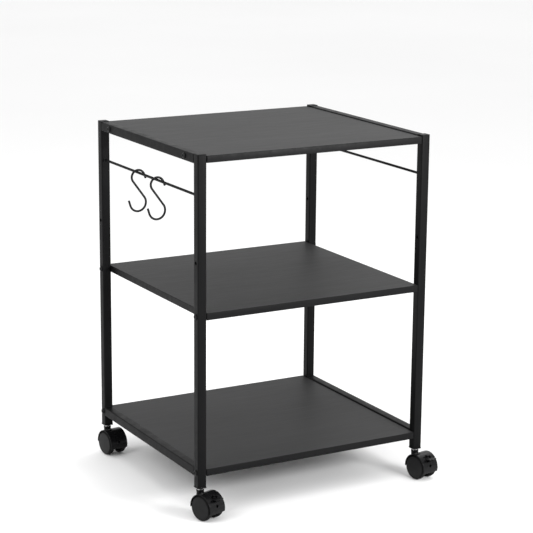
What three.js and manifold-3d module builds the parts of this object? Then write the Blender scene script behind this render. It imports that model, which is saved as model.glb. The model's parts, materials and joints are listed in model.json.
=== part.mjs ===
// Mobile printer stand: two welded side frames of square steel tube, three boards bolted between them,
// four hooded twin-wheel casters and two S-hooks that hang on the left rod.
// Millimetres, +Z up. The front faces -Y, and the stand rests on z = 0.

import * as THREE from 'three';
import { mergeVertices } from 'three/addons/utils/BufferGeometryUtils.js';
import Module from 'manifold-3d';

const wasm = await Module();
wasm.setup();

// ---------------------------------------------------------------- driving dimensions

const stand_width = 450;
const stand_depth = 395;
const stand_height = 622;
const gap = 0.3;

const tube_side = 16;
const tube_wall = 1.2;
const tube_corner = 1.6;
const rod_radius = 2.25;

const board_thickness = 12;
const board_corner = 1.5;
const board_edge = 0.8;

const post_bottom = 53;
const cap_lip = 1;
const bottom_rail_top = 86.5;
const middle_board_top = 355.5;
const spare_hole_rise = 91;
const rod_below_rail_top = 69.5;
const top_board_drop = 1.9;
const bottom_board_drop = 2.5;
const top_bolt_spacing = 296;

const bolt_radius = 2.9;
const bolt_hole_radius = 3.2;
const bolt_length = 34;
const bolt_hole_depth = 20;
const bolt_head_radius = 5;
const bolt_head_height = 2;
const bolt_socket_radius = 2.3;
const bolt_socket_depth = 1.3;

const insert_side = 17.4;
const insert_lip = 2;
const insert_depth = 20;
const stem_radius = 4;
const stem_hole_radius = 4.3;
const stem_top = 70.5;
const stem_foot = 32.4;
const collar_radius = 6;
const collar_bottom = 48.6;
const collar_top = 50.7;

const wheel_radius = 22;
const wheel_inner_face = 7.4;
const wheel_outer_face = 18.4;
const wheel_sides = 20;
const caster_trail = 18;
const axle_radius = 2.5;
const axle_hole_radius = 2.8;
const axle_half_length = 14.8;
const hood_radius = 24.6;
const hood_bore = 23.1;
const hood_rib = 1.5;
const hood_half_width = 17.2;
const hood_front_angle = -16;
const hood_rear_angle = 185;
const housing_half_width = 6.6;
const neck_top = 48.2;
const neck_hole_bottom = 32;

const brake_pivot_radius = 19.8;
const brake_pivot_angle = 54;
const brake_pin_radius = 1.2;
const brake_hole_radius = 1.5;
const brake_arm_half_width = 2.2;
const brake_pedal_half_width = 8;
const brake_pedal_start = 6.9;
const brake_pedal_reach = 18.2;
const brake_pedal_thickness = 2.8;
const brake_pedal_rise = 13;

const hook_wire_radius = 1.9;
const hook_upper_radius = 12.2;
const hook_lower_radius = 15.2;
const hook_centres = 45.3;
const hook_lean = 2;
const hook_upper_end_angle = 19.5;
const hook_lower_end_angle = -164;
const hook_upper_tip = 8;
const hook_lower_tip = 10;
const hook_steps = 40;

const post_x = (stand_width - tube_side) / 2;
const post_y = (stand_depth - tube_side) / 2;
const rail_top = stand_height - cap_lip;
const top_board_top = rail_top - top_board_drop;
const bottom_board_top = bottom_rail_top - bottom_board_drop;
const rod_z = rail_top - rod_below_rail_top;
const board_middle = (top) => top - board_thickness / 2;

// Where each caster points when the stand is at rest: the turn of its trailing side away from -Y, in degrees.
const corners = [
  { name: 'front_left', x: -post_x, y: -post_y, heading: 17, brake: true },
  { name: 'front_right', x: post_x, y: -post_y, heading: 10, brake: true },
  { name: 'rear_left', x: -post_x, y: post_y, heading: 7, brake: false },
  { name: 'rear_right', x: post_x, y: post_y, heading: 12, brake: false },
];
const sides = [
  { name: 'left', x: -post_x, outward: -1 },
  { name: 'right', x: post_x, outward: 1 },
];
const hook_places = [
  { name: 's_hook_rear', y: 46 },
  { name: 's_hook_front', y: -30 },
];

// ---------------------------------------------------------------- finishes

const finishes = {
  powder_coat: { color: 0x333333, roughness: 0.55, metalness: 0.2 },
  board: { color: 0x505050, roughness: 0.6, metalness: 0 },
  cap_plastic: { color: 0x1c1c1c, roughness: 0.5, metalness: 0 },
  caster_plastic: { color: 0x262626, roughness: 0.45, metalness: 0 },
  wheel_plastic: { color: 0x2b2b2b, roughness: 0.5, metalness: 0 },
  bright_steel: { color: 0xb8b8b8, roughness: 0.3, metalness: 1 },
  black_steel: { color: 0x1f1f1f, roughness: 0.4, metalness: 0.6 },
};

// ---------------------------------------------------------------- helpers

const degrees = THREE.MathUtils.degToRad;

// A closed geometry as a manifold solid, for cutting and joining.
function solid(geometry) {
  const bare = geometry.clone();
  bare.deleteAttribute('normal');
  bare.deleteAttribute('uv');
  const merged = mergeVertices(bare, 1e-4);
  const vertProperties = new Float32Array(merged.attributes.position.array);
  const triVerts = new Uint32Array(merged.index.array);
  return new wasm.Manifold(new wasm.Mesh({ numProp: 3, vertProperties, triVerts }));
}

function geometryOf(manifold) {
  const mesh = manifold.getMesh();
  const geometry = new THREE.BufferGeometry();
  geometry.setAttribute('position', new THREE.BufferAttribute(mesh.vertProperties, 3));
  geometry.setIndex(new THREE.BufferAttribute(mesh.triVerts, 1));
  geometry.computeVertexNormals();
  return geometry;
}

function cut(body, ...tools) {
  return geometryOf(tools.reduce((rest, tool) => rest.subtract(solid(tool)), solid(body)));
}

function join(first, ...others) {
  return geometryOf(others.reduce((whole, other) => whole.add(solid(other)), solid(first)));
}

function piece(name, geometry, finish) {
  const mesh = new THREE.Mesh(geometry, new THREE.MeshStandardMaterial(finishes[finish]));
  mesh.name = name;
  return mesh;
}

// A rectangle with round corners, centred on the origin.
function roundedRectangle(width, height, radius, Kind = THREE.Shape) {
  const x = width / 2 - radius;
  const y = height / 2 - radius;
  const outline = new Kind();
  outline.absarc(x, y, radius, 0, Math.PI / 2);
  outline.absarc(-x, y, radius, Math.PI / 2, Math.PI);
  outline.absarc(-x, -y, radius, Math.PI, 1.5 * Math.PI);
  outline.absarc(x, -y, radius, 1.5 * Math.PI, 2 * Math.PI);
  outline.closePath();
  return outline;
}

// A block with rounded upright corners and softened top and bottom edges, standing on z = 0.
function softBlock(width, depth, height, corner, edge) {
  const geometry = new THREE.ExtrudeGeometry(roundedRectangle(width, depth, corner), {
    depth: height - 2 * edge,
    curveSegments: 2,
    bevelThickness: edge,
    bevelSize: edge,
    bevelOffset: -edge,
    bevelSegments: 1,
  });
  return geometry.translate(0, 0, edge);
}

function plainBlock(width, depth, height) {
  return new THREE.BoxGeometry(width, depth, height).translate(0, 0, height / 2);
}

// A round bar along X, from x = from to x = to.
function barAlongX(radius, from, to, segments = 12) {
  const bar = new THREE.CylinderGeometry(radius, radius, to - from, segments);
  return bar.rotateZ(Math.PI / 2).translate((from + to) / 2, 0, 0);
}

// A turned piece on the Z axis. The profile is [radius, height] pairs from the foot up, both ends on the axis.
function turned(profile, segments, start = 0) {
  const points = profile.map(([radius, height]) => new THREE.Vector2(radius, height));
  return new THREE.LatheGeometry(points, segments, start).rotateX(Math.PI / 2);
}

// ---------------------------------------------------------------- side frames

// Square tube standing on z = 0.
function squareTube(length) {
  const outline = roundedRectangle(tube_side, tube_side, tube_corner);
  const bore = tube_side - 2 * tube_wall;
  outline.holes.push(roundedRectangle(bore, bore, tube_corner - tube_wall, THREE.Path));
  return new THREE.ExtrudeGeometry(outline, { depth: length, bevelEnabled: false, curveSegments: 2 });
}

function boltHoleThroughTube(y, z) {
  return barAlongX(bolt_hole_radius, -tube_side, tube_side).translate(0, y, z);
}

function makePost(corner) {
  const middle_hole = board_middle(middle_board_top);
  const hole_heights = [board_middle(bottom_board_top), middle_hole, middle_hole + spare_hole_rise];
  const holes = hole_heights.map((z) => boltHoleThroughTube(0, z - post_bottom));
  const post = piece(`post_${corner.name}`, cut(squareTube(rail_top - post_bottom), ...holes), 'powder_coat');
  post.position.set(corner.x, corner.y, post_bottom);
  return post;
}

const rail_length = stand_depth - 2 * tube_side - 2 * gap;

// A side rail runs front to back between two posts. The top one has holes for the top board's bolts.
function makeRail(name, side, top, bolt_spacing) {
  const lying = squareTube(rail_length).translate(0, 0, -rail_length / 2).rotateX(Math.PI / 2);
  const hole_places = bolt_spacing ? [-bolt_spacing / 2, bolt_spacing / 2] : [];
  const hole_height = board_middle(top_board_top) - (rail_top - tube_side / 2);
  const holes = hole_places.map((y) => boltHoleThroughTube(y, hole_height));
  const rail = piece(`${name}_${side.name}`, holes.length ? cut(lying, ...holes) : lying, 'powder_coat');
  rail.position.set(side.x, 0, top - tube_side / 2);
  return rail;
}

function makeRod(side) {
  const rod = piece(
    `hanging_rod_${side.name}`,
    new THREE.CylinderGeometry(rod_radius, rod_radius, rail_length, 16),
    'powder_coat',
  );
  rod.position.set(side.x, 0, rod_z);
  return rod;
}

// A thin cap that closes the post's top, with a hollow plug inside the tube.
function makeTopCap(corner) {
  const plug_side = tube_side - 2 * tube_wall - 2 * gap;
  const plug_depth = 9;
  const plug_wall = 1.6;
  const lip = softBlock(tube_side, tube_side, cap_lip - gap, tube_corner, 0.25).translate(0, 0, gap);
  const plug = plainBlock(plug_side, plug_side, plug_depth + 0.5).translate(0, 0, -plug_depth);
  const pocket_side = plug_side - 2 * plug_wall;
  const pocket = plainBlock(pocket_side, pocket_side, plug_depth).translate(0, 0, -plug_depth - 0.2);
  const cap = piece(`top_cap_${corner.name}`, cut(join(lip, plug), pocket), 'cap_plastic');
  cap.position.set(corner.x, corner.y, rail_top);
  return cap;
}

// The plastic foot insert: a lip under the post, a plug inside it and a hole for the caster's stem.
function makeStemInsert(corner) {
  const plug_side = tube_side - 2 * tube_wall - 2 * gap;
  const lip = softBlock(insert_side, insert_side, insert_lip - gap, tube_corner + 0.5, 0.5);
  const plug = plainBlock(plug_side, plug_side, insert_depth + 1).translate(0, 0, 1);
  const hole = new THREE.CylinderGeometry(stem_hole_radius, stem_hole_radius, 3 * insert_depth, 12);
  const geometry = cut(join(lip, plug), hole.rotateX(Math.PI / 2));
  const insert = piece(`stem_insert_${corner.name}`, geometry, 'cap_plastic');
  insert.position.set(corner.x, corner.y, post_bottom - insert_lip);
  return insert;
}

// ---------------------------------------------------------------- boards and their bolts

const board_width = stand_width - 2 * tube_side - 2 * gap;

// A board is as deep as the side frames. Bolts enter its left and right edges, bolt_spacing apart.
function makeBoard(name, top, bolt_spacing) {
  const plate = softBlock(board_width, stand_depth, board_thickness, board_corner, board_edge);
  const holes = [];
  for (const side of sides) {
    for (const y of [-bolt_spacing / 2, bolt_spacing / 2]) {
      const hole = barAlongX(bolt_hole_radius, 0, bolt_hole_depth + 5).rotateZ(side.outward < 0 ? 0 : Math.PI);
      const edge_x = side.outward * (board_width / 2 + 5);
      holes.push(hole.translate(edge_x, y, board_thickness / 2));
    }
  }
  const board = piece(name, cut(plate, ...holes), 'board');
  board.position.z = top - board_thickness;
  return board;
}

// A low round-headed bolt with a hexagon socket. Its head sits on x = 0 and faces +X.
function boltGeometry() {
  const body = turned(
    [
      [0, -bolt_length],
      [bolt_radius, -bolt_length],
      [bolt_radius, 0],
      [bolt_head_radius, 0],
      [bolt_head_radius, 0.6],
      [bolt_head_radius * 0.78, bolt_head_height],
      [0, bolt_head_height],
    ],
    12,
  );
  const socket = new THREE.CylinderGeometry(bolt_socket_radius, bolt_socket_radius, 2 * bolt_socket_depth, 6);
  const socket_in_head = socket.rotateX(Math.PI / 2).translate(0, 0, bolt_head_height);
  return cut(body, socket_in_head).rotateY(Math.PI / 2);
}

function makeBolts(board_name, top, bolt_spacing) {
  const bolts = [];
  for (const side of sides) {
    for (const [end, y] of [['front', -bolt_spacing / 2], ['rear', bolt_spacing / 2]]) {
      const bolt = piece(`${board_name}_bolt_${end}_${side.name}`, boltGeometry(), 'black_steel');
      bolt.rotation.z = side.outward < 0 ? Math.PI : 0;
      bolt.position.set(side.outward * (stand_width / 2 + gap), y, board_middle(top));
      bolts.push(bolt);
    }
  }
  return bolts;
}

// ---------------------------------------------------------------- casters

// Caster pieces are drawn with the swivel axis on Z, the floor at z = 0 and the wheels trailing towards -Y.
// Their side profiles are drawn as (forward, up) around the axle, and extruded across.
const profile_to_caster = new THREE.Matrix4().makeBasis(
  new THREE.Vector3(0, -1, 0),
  new THREE.Vector3(0, 0, 1),
  new THREE.Vector3(-1, 0, 0),
);
profile_to_caster.setPosition(0, -caster_trail, wheel_radius);

function across(profile, half_width, curve_segments = 12) {
  const geometry = new THREE.ExtrudeGeometry(profile, {
    depth: 2 * half_width,
    bevelEnabled: false,
    curveSegments: curve_segments,
  });
  return geometry.translate(0, 0, -half_width).applyMatrix4(profile_to_caster);
}

// A slice of a ring around the axle, between two radii and two angles above forward.
function ringSlice(inner, outer, from_angle, to_angle) {
  const slice = new THREE.Shape();
  slice.absarc(0, 0, outer, degrees(from_angle), degrees(to_angle), false);
  slice.absarc(0, 0, inner, degrees(to_angle), degrees(from_angle), true);
  slice.closePath();
  return slice;
}

function aroundAxle(bar) {
  return bar.translate(0, -caster_trail, wheel_radius);
}

const brake_pivot = new THREE.Vector2(
  brake_pivot_radius * Math.cos(degrees(brake_pivot_angle)),
  brake_pivot_radius * Math.sin(degrees(brake_pivot_angle)),
);

function atBrakePivot(bar) {
  return bar.translate(0, -caster_trail - brake_pivot.x, wheel_radius + brake_pivot.y);
}

// The hood is a shell over both wheels, carried by a housing between them that rises into the neck.
function hoodGeometry(brake) {
  const shell_slice = ringSlice(hood_bore - hood_rib, hood_radius, hood_front_angle, hood_rear_angle);
  const shell = across(shell_slice, hood_half_width, 13);

  const housing_outline = new THREE.Shape();
  housing_outline.absarc(0, 0, hood_bore + 0.5, degrees(0), degrees(hood_rear_angle), false);
  housing_outline.absarc(0, 0, 10.5, degrees(205), degrees(335), false);
  housing_outline.closePath();
  const housing = across(housing_outline, housing_half_width, 10);

  const neck = turned(
    [
      [0, 27],
      [3.4, 27],
      [5.4, 30.5],
      [6.3, 37],
      [6.2, 43.5],
      [6.6, 46],
      [6.6, neck_top - 0.6],
      [6, neck_top],
      [0, neck_top],
    ],
    16,
  );

  const wheel_spaces = [1, -1].map((way) => {
    const space = barAlongX(hood_bore, housing_half_width + 0.3, wheel_outer_face + 10, 32);
    return aroundAxle(space.scale(way, way, 1));
  });
  const stem_hole = new THREE.CylinderGeometry(stem_hole_radius, stem_hole_radius, neck_top, 12);
  const stem_hole_in_neck = stem_hole.rotateX(Math.PI / 2).translate(0, 0, neck_hole_bottom + neck_top / 2);
  const axle_hole = aroundAxle(barAlongX(axle_hole_radius, -wheel_outer_face, wheel_outer_face));

  const pin_hole_angle = degrees(15);
  const pin_hole = new THREE.CylinderGeometry(2, 2, 8, 10).rotateX(-pin_hole_angle);
  const pin_hole_in_hood = aroundAxle(
    pin_hole.translate(0, -hood_radius * Math.cos(pin_hole_angle), hood_radius * Math.sin(pin_hole_angle)),
  );

  const tools = [...wheel_spaces, stem_hole_in_neck, axle_hole, pin_hole_in_hood];
  if (brake) {
    tools.push(across(ringSlice(21.8, 30, 33, 59), brake_pedal_half_width + 0.4));
    tools.push(across(ringSlice(16.4, 30, 33, 66), brake_arm_half_width + 0.4));
    tools.push(atBrakePivot(barAlongX(brake_hole_radius, -housing_half_width - 1, housing_half_width + 1, 10)));
  }
  return cut(join(shell, housing, neck), ...tools);
}

// One wheel on the X axis, its outer face towards +X, with a crowned tread. A flat of the tread faces
// straight down, and the tread's corners are pushed out so that its flats lie at the wheel's true radius.
function wheelGeometry() {
  const corner_radius = (flat_radius) => flat_radius / Math.cos(Math.PI / wheel_sides);
  const hub_radius = 5.6;
  const pocket_radius = 18.4;
  const pocket_face = 15.4;
  const profile = [
    [0, pocket_face + 0.2],
    [axle_hole_radius, pocket_face + 0.2],
    [axle_hole_radius, wheel_inner_face],
    [hub_radius, wheel_inner_face],
    [hub_radius, pocket_face],
    [pocket_radius, pocket_face],
    [pocket_radius, wheel_inner_face + 0.6],
    [corner_radius(wheel_radius - 1.8), wheel_inner_face + 0.6],
    [corner_radius(wheel_radius - 0.4), 9.8],
    [corner_radius(wheel_radius), 11.4],
    [corner_radius(wheel_radius), 14],
    [corner_radius(wheel_radius - 0.4), 15.8],
    [corner_radius(wheel_radius - 1.4), 17.4],
    [0, wheel_outer_face],
  ];
  return turned(profile, wheel_sides, Math.PI / wheel_sides).rotateY(Math.PI / 2);
}

// The brake lever: a narrow arm on the pivot pin, and a wide pedal that stands out of the hood.
function brakeLeverGeometry() {
  const arm = new THREE.Shape();
  arm.absarc(0, 0, 2.6, degrees(40), degrees(320), false);
  arm.lineTo(brake_pedal_start + 3, -1.2);
  arm.lineTo(brake_pedal_start + 3, 1.2);
  arm.closePath();

  const half = brake_pedal_thickness / 2;
  const pedal = new THREE.Shape();
  pedal.moveTo(brake_pedal_start, -half);
  pedal.lineTo(brake_pedal_reach - 1, -half + 0.5);
  pedal.absarc(brake_pedal_reach - 1, 0.3, 0.9, -Math.PI / 2, Math.PI / 2, false);
  pedal.lineTo(brake_pedal_start, half);
  pedal.closePath();

  const parts = [across(arm, brake_arm_half_width, 10), across(pedal, brake_pedal_half_width, 4)];
  const from_profile = profile_to_caster.clone().invert();
  const tilt = new THREE.Matrix4().makeRotationZ(degrees(brake_pedal_rise));
  tilt.setPosition(brake_pivot.x, brake_pivot.y, 0);
  const placed = parts.map((part) => {
    return part.applyMatrix4(from_profile).applyMatrix4(tilt).applyMatrix4(profile_to_caster);
  });
  const pin_hole = atBrakePivot(barAlongX(brake_hole_radius, -brake_arm_half_width - 1, brake_arm_half_width + 1, 10));
  return cut(join(...placed), pin_hole);
}

function stemGeometry() {
  return turned(
    [
      [0, stem_foot],
      [stem_radius - 0.1, stem_foot],
      [stem_radius - 0.1, collar_bottom],
      [collar_radius, collar_bottom],
      [collar_radius, collar_top],
      [stem_radius, collar_top],
      [stem_radius, stem_top - 0.7],
      [stem_radius - 0.7, stem_top],
      [0, stem_top],
    ],
    12,
  );
}

function makeCaster(corner) {
  const name = `caster_${corner.name}`;
  const caster = new THREE.Group();
  caster.position.set(corner.x, corner.y, 0);
  caster.rotation.z = degrees(corner.heading);
  caster.add(piece(`${name}_stem`, stemGeometry(), 'bright_steel'));
  caster.add(piece(`${name}_hood`, hoodGeometry(corner.brake), 'caster_plastic'));
  const axle = aroundAxle(barAlongX(axle_radius, -axle_half_length, axle_half_length));
  caster.add(piece(`${name}_axle`, axle, 'bright_steel'));
  for (const side of sides) {
    const wheel = piece(`${name}_wheel_${side.name}`, wheelGeometry(), 'wheel_plastic');
    wheel.position.set(0, -caster_trail, wheel_radius);
    wheel.rotation.z = side.outward < 0 ? Math.PI : 0;
    caster.add(wheel);
  }
  if (corner.brake) {
    const pin_reach = housing_half_width - 0.3;
    const pin = atBrakePivot(barAlongX(brake_pin_radius, -pin_reach, pin_reach, 10));
    caster.add(piece(`${name}_brake_pin`, pin, 'bright_steel'));
    caster.add(piece(`${name}_brake_lever`, brakeLeverGeometry(), 'caster_plastic'));
  }
  return caster;
}

// ---------------------------------------------------------------- S-hooks

// The centre line of the wire, in the XZ plane: a straight tip, the upper loop, a straight shank that
// crosses over, the lower loop and its tip. The upper loop's centre is the origin.
class HookLine extends THREE.Curve {
  constructor() {
    super();
    const lower = new THREE.Vector2(-hook_lean, -hook_centres);
    const crossing = Math.asin((hook_upper_radius + hook_lower_radius) / lower.length());
    const shank_angle = lower.angle() + crossing - 2 * Math.PI;
    const leave = shank_angle - Math.PI / 2 + 2 * Math.PI;
    const shank_length = lower.length() * Math.cos(crossing);
    const upper_start = degrees(hook_upper_end_angle);
    const lower_start = shank_angle + Math.PI / 2;
    const on_circle = (centre, radius, angle) => {
      return new THREE.Vector2(centre.x + radius * Math.cos(angle), centre.y + radius * Math.sin(angle));
    };
    const origin = new THREE.Vector2(0, 0);
    const shank_start = on_circle(origin, hook_upper_radius, leave);
    const shank_way = new THREE.Vector2(Math.cos(shank_angle), Math.sin(shank_angle));
    const tip_way = (angle, turn) => new THREE.Vector2(turn * Math.sin(angle), -turn * Math.cos(angle));
    const upper_loop_start = on_circle(origin, hook_upper_radius, upper_start);
    const upper_tip = upper_loop_start.clone().addScaledVector(tip_way(upper_start, 1), hook_upper_tip);
    const lower_end = degrees(hook_lower_end_angle);
    const lower_loop_end = on_circle(lower, hook_lower_radius, lower_end);
    const lower_tip_way = tip_way(lower_end, 1);
    this.stretches = [
      { length: hook_upper_tip, at: (s) => upper_tip.clone().lerp(upper_loop_start, s) },
      {
        length: hook_upper_radius * (leave - upper_start),
        at: (s) => on_circle(origin, hook_upper_radius, upper_start + s * (leave - upper_start)),
      },
      { length: shank_length, at: (s) => shank_start.clone().addScaledVector(shank_way, s * shank_length) },
      {
        length: hook_lower_radius * (lower_start - lower_end),
        at: (s) => on_circle(lower, hook_lower_radius, lower_start + s * (lower_end - lower_start)),
      },
      {
        length: hook_lower_tip,
        at: (s) => lower_loop_end.clone().addScaledVector(lower_tip_way, s * hook_lower_tip),
      },
    ];
    this.whole = this.stretches.reduce((sum, stretch) => sum + stretch.length, 0);
  }

  getPoint(t) {
    let left = t * this.whole;
    let index = 0;
    while (index < this.stretches.length - 1 && left > this.stretches[index].length) {
      left -= this.stretches[index].length;
      index += 1;
    }
    const stretch = this.stretches[index];
    const point = stretch.at(Math.min(left / stretch.length, 1));
    return new THREE.Vector3(point.x, 0, point.y);
  }
}

// The hook hangs as gravity holds it: its centre of mass under the loop's centre, the loop's centre under
// the rod's.
function hookGeometry() {
  const line = new HookLine();
  const samples = line.getPoints(400);
  const centre = samples.reduce((sum, point) => sum.add(point), new THREE.Vector3()).divideScalar(samples.length);
  const section = new THREE.Shape().absarc(0, 0, hook_wire_radius, 0, 2 * Math.PI);
  const geometry = new THREE.ExtrudeGeometry(section, {
    extrudePath: line,
    steps: hook_steps,
    curveSegments: 5,
    bevelEnabled: false,
  });
  const swing = Math.atan2(centre.x, -centre.z);
  const loop_below_rod = hook_upper_radius - hook_wire_radius - rod_radius - gap;
  return geometry.rotateY(swing).translate(0, 0, -loop_below_rod);
}

function makeHook(place) {
  const hook = piece(place.name, hookGeometry(), 'black_steel');
  hook.position.set(-post_x, place.y, rod_z);
  return hook;
}

// ---------------------------------------------------------------- the stand

const stand = new THREE.Group();
const post_bolt_spacing = 2 * post_y;

for (const corner of corners) {
  stand.add(makePost(corner));
  stand.add(makeTopCap(corner));
  stand.add(makeStemInsert(corner));
  stand.add(makeCaster(corner));
}
for (const side of sides) {
  stand.add(makeRail('top_rail', side, rail_top, top_bolt_spacing));
  stand.add(makeRail('bottom_rail', side, bottom_rail_top, 0));
  stand.add(makeRod(side));
}
stand.add(makeBoard('top_board', top_board_top, top_bolt_spacing));
stand.add(makeBoard('middle_board', middle_board_top, post_bolt_spacing));
stand.add(makeBoard('bottom_board', bottom_board_top, post_bolt_spacing));
stand.add(...makeBolts('top_board', top_board_top, top_bolt_spacing));
stand.add(...makeBolts('middle_board', middle_board_top, post_bolt_spacing));
stand.add(...makeBolts('bottom_board', bottom_board_top, post_bolt_spacing));
for (const place of hook_places) {
  stand.add(makeHook(place));
}

// The origin is on the floor, under the middle of the whole stand's box.
stand.updateMatrixWorld(true);
const box = new THREE.Box3().setFromObject(stand, true);
stand.position.set(-(box.min.x + box.max.x) / 2, -(box.min.y + box.max.y) / 2, 0);

export default stand;
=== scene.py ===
import json
import math

import bmesh
import bpy
from mathutils import Matrix, Vector


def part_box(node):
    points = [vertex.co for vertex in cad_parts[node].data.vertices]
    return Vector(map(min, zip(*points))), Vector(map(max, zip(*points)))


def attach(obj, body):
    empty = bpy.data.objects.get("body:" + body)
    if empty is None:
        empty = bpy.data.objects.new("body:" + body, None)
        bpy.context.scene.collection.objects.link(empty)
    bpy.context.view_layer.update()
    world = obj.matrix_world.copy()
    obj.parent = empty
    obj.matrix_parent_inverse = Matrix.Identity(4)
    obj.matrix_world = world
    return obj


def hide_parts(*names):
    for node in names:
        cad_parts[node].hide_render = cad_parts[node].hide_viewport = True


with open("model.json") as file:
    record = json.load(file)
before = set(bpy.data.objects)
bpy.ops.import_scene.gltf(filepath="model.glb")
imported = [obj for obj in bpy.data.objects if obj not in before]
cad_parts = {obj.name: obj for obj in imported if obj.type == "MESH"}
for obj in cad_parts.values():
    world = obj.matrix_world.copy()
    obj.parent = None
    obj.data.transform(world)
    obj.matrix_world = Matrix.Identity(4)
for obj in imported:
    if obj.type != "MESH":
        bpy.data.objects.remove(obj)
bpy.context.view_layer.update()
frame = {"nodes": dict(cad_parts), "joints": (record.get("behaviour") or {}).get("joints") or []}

# Shapes are made in millimetres and scaled to metres when they are placed. Colours are linear RGB.

MM = 0.001
UP = Vector((0, 0, 1))


def box_mm(node):
    """Lowest and highest corner of a CAD node, in millimetres."""
    low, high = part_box(node)
    return low / MM, high / MM


def middle_mm(node):
    low, high = box_mm(node)
    return (low + high) / 2


# ---------------------------------------------------------------- sizes taken from the frame

CORNERS = ("front_left", "front_right", "rear_left", "rear_right")
BRAKED = ("front_left", "front_right")
SIDES = ("left", "right")
BOARDS = ("top_board", "middle_board", "bottom_board")

post_low, post_high = box_mm("post_front_left")
tube_side = post_high.x - post_low.x
frame_centre = (middle_mm("post_front_left") + middle_mm("post_rear_right")) / 2
insert_low, insert_high = box_mm("stem_insert_front_left")
rod_low, rod_high = box_mm("hanging_rod_left")
rod_radius = (rod_high.z - rod_low.z) / 2
stem_top = box_mm("caster_front_left_stem")[1].z
rear_post_face = box_mm("post_rear_left")[0].y
front_post_face = post_high.y

gap = 0.3
tube_wall = 1.2
tube_corner = 1.9
bolt_hole_radius = 3.2
spare_hole_rise = 91
board_border = 0.7
stem_hole_radius = 4.3

swivels = {j["child"]: j for j in frame["joints"]}
wheel_height = swivels["caster_front_left_wheel_left"]["pos_m"][2] / MM
caster_trail = 18
wheel_radius = wheel_height
hood_radius = 24.6
hood_bore = 23.1
hood_rib = 1.5
hood_half_width = 17.3
hood_front_angle = -16
hood_rear_angle = 185
housing_half_width = 6.6
front_hole_radius = 2.5
front_hole_angle = 15
axle_hole_radius = 2.8
wheel_inner_face = 7.4
wheel_outer_face = 18.4
brake_pivot_radius = 19.8
brake_pivot_angle = 54
brake_pin_hole_radius = 1.5
brake_arm_half_width = 2.2
brake_pedal_half_width = 8
brake_slot_gap = 0.4
brake_pedal_rise = 13
stem_radius = 4
stem_foot = 32.4
collar_radius = 6
collar_bottom = 48.6
collar_top = 50.7
disc_edge = 18.6
tread_start = 19.2

# ---------------------------------------------------------------- building meshes


def ring_points(half_x, half_y, corner, z, steps=6):
    """A rectangle with round corners, counter-clockwise, at height z."""
    points = []
    for quarter in range(4):
        centre_x = (half_x - corner) * (1, -1, -1, 1)[quarter]
        centre_y = (half_y - corner) * (1, 1, -1, -1)[quarter]
        for step in range(steps + 1):
            angle = math.pi / 2 * (quarter + step / steps)
            x = centre_x + corner * math.cos(angle)
            y = centre_y + corner * math.sin(angle)
            points.append(Vector((x, y, z)))
    return points


def loft(rings, looped=False):
    """A closed mesh through rings with the same number of points. Looped joins the last ring to the first."""
    bm = bmesh.new()
    rows = [[bm.verts.new(point) for point in ring] for ring in rings]
    pairs = list(zip(rows, rows[1:]))
    if looped:
        pairs.append((rows[-1], rows[0]))
    for low, high in pairs:
        for i in range(len(low)):
            j = (i + 1) % len(low)
            bm.faces.new((low[i], low[j], high[j], high[i]))
    if not looped:
        bm.faces.new(reversed(rows[0]))
        bm.faces.new(rows[-1])
    bmesh.ops.recalc_face_normals(bm, faces=bm.faces)
    return bm


def turned(profile, steps=64):
    """A solid turned on the Z axis from [radius, height] pairs, both ends on the axis."""
    bm = bmesh.new()
    rows = []
    for radius, height in profile:
        if radius < 1e-6:
            rows.append([bm.verts.new((0, 0, height))])
            continue
        angles = [2 * math.pi * i / steps for i in range(steps)]
        rows.append([bm.verts.new((radius * math.cos(a), radius * math.sin(a), height)) for a in angles])
    for low, high in zip(rows, rows[1:]):
        for i in range(steps):
            j = (i + 1) % steps
            corners = [low[i % len(low)], low[j % len(low)], high[j % len(high)], high[i % len(high)]]
            bm.faces.new(dict.fromkeys(corners))
    bmesh.ops.recalc_face_normals(bm, faces=bm.faces)
    return bm


def arc(centre, radius, start, end, steps=5):
    """Points on an arc, from start to end in degrees."""
    points = []
    for step in range(steps + 1):
        angle = math.radians(start + (end - start) * step / steps)
        points.append((centre[0] + radius * math.cos(angle), centre[1] + radius * math.sin(angle)))
    return points


def across(outline, half_width):
    """An outline of (forward, up) points round a caster's axle, extruded along X."""
    bm = bmesh.new()
    rows = []
    for x in (-half_width, half_width):
        rows.append([bm.verts.new((x, -caster_trail - p[0], wheel_height + p[1])) for p in outline])
    for i in range(len(outline)):
        j = (i + 1) % len(outline)
        bm.faces.new((rows[0][i], rows[0][j], rows[1][j], rows[1][i]))
    bm.faces.new(rows[0])
    bm.faces.new(list(reversed(rows[1])))
    bmesh.ops.recalc_face_normals(bm, faces=bm.faces)
    return bm


def ring_slice(inner, outer, start, end, steps=48):
    return arc((0, 0), outer, start, end, steps) + arc((0, 0), inner, end, start, steps)


def bar(radius, start, end, steps=32):
    """A round bar between two points."""
    way = end - start
    bm = turned([(0, 0), (radius, 0), (radius, way.length), (0, way.length)], steps)
    turn = UP.rotation_difference(way).to_matrix().to_4x4()
    bm.transform(Matrix.Translation(start) @ turn)
    return bm


def moved(bm, matrix):
    bm.transform(matrix)
    return bm


def work_object(bm):
    """A temporary object for modifiers, in millimetres."""
    mesh = bpy.data.meshes.new("work")
    bm.to_mesh(mesh)
    bm.free()
    obj = bpy.data.objects.new("work", mesh)
    bpy.context.scene.collection.objects.link(obj)
    return obj


def apply_modifiers(obj):
    depsgraph = bpy.context.evaluated_depsgraph_get()
    mesh = bpy.data.meshes.new_from_object(obj.evaluated_get(depsgraph))
    obj.modifiers.clear()
    obj.data = mesh


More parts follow.
